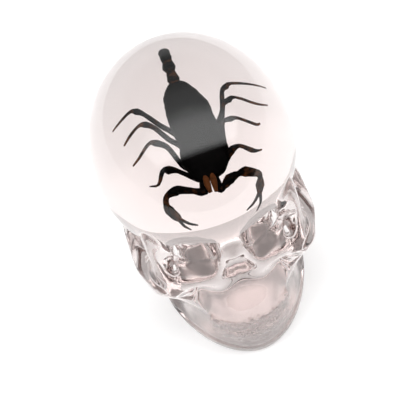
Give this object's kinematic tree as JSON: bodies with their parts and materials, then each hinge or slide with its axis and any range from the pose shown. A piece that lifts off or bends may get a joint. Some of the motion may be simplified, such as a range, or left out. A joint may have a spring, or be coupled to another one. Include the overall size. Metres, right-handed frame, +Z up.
{
  "type": "clear resin skull paperweight with scorpion",
  "caption": "Solid clear cast skull standing on its flat jaw base, with a dried black scorpion sealed in the dome.",
  "frame": {"origin": "on the flat base, in the plane between left and right, 3 mm behind the dome's middle", "axes": "+Z up to the crown, -Y the way the face looks, X across the skull"},
  "size_m": [0.051, 0.0633, 0.075],
  "materials": {
    "resin": "clear polished casting resin with a faint pink-grey tint, index of refraction 1.5",
    "scorpion_shell": "dried black horny shell, slightly glossy, with brown joints and leg tips"
  },
  "bodies": {
    "root": {"resin_crown": "resin", "resin_base": "resin", "scorpion": "scorpion_shell"}
  },
  "joints": []
}
